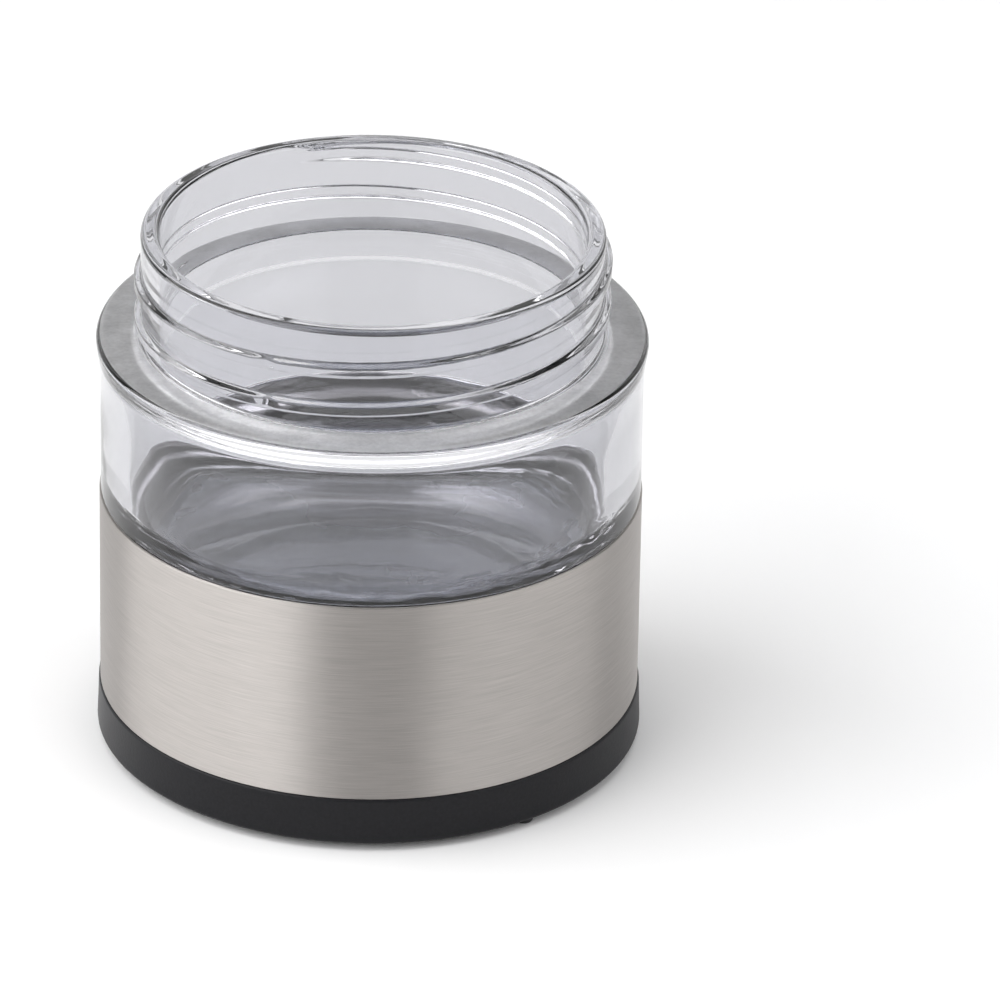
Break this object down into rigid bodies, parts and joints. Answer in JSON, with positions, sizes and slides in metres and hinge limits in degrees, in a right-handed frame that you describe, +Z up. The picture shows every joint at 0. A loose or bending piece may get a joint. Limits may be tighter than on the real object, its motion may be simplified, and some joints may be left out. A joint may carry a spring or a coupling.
{
  "type": "table mill glass container",
  "caption": "Clear glass mill container with a screw neck and a heavy floor, held in a brushed steel sleeve over a steel disc and a black moulded base with small foot studs.",
  "frame": {"origin": "on the table, where the jar's axis meets the plane of the foot studs", "axes": "+Z up along the jar's axis and out of its mouth; -Y towards the picture's camera, +X to its right"},
  "size_m": [0.0556, 0.0556, 0.0555],
  "materials": {
    "clear_glass": "clear pressed glass, glossy",
    "brushed_steel": "brushed round the sleeve, satin",
    "plain_steel": "rolled sheet, satin",
    "black_plastic": "fine moulded grain, satin",
    "stud_rubber": "smooth rubber"
  },
  "bodies": {
    "root": {"glass_jar": "clear_glass", "steel_sleeve": "brushed_steel", "seat_disc": "plain_steel", "base": "black_plastic", "stud_1": "stud_rubber", "stud_2": "stud_rubber", "stud_3": "stud_rubber"}
  },
  "joints": []
}
